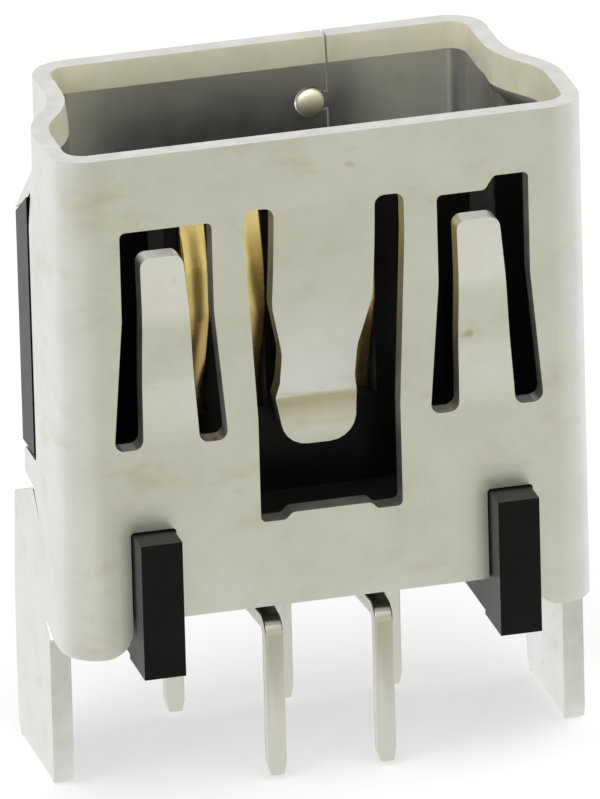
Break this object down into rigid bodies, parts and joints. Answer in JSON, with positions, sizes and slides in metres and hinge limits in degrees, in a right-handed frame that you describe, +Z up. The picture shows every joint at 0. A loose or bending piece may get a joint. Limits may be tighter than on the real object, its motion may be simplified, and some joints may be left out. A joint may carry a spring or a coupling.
{
  "type": "mini socket",
  "caption": "Upright mini socket for a circuit board: folded metal shell with spring fingers and legs around a black moulding with spring contacts and solder tails",
  "frame": {"origin": "on the board surface, under the middle of the shell's outline", "axes": "+X to the right seen from the wide front, +Y from the wide front to the narrow back, +Z up out of the board, towards the mouth"},
  "size_m": [0.0078, 0.0044, 0.0098],
  "materials": {
    "shell": "satin nickel plate",
    "housing": "fine matt",
    "contact": "gold plated spring, tinned tail"
  },
  "bodies": {
    "root": {"shell": "shell", "housing": "housing", "contact_1": "contact", "contact_2": "contact", "contact_3": "contact", "contact_4": "contact", "contact_5": "contact"}
  },
  "joints": []
}
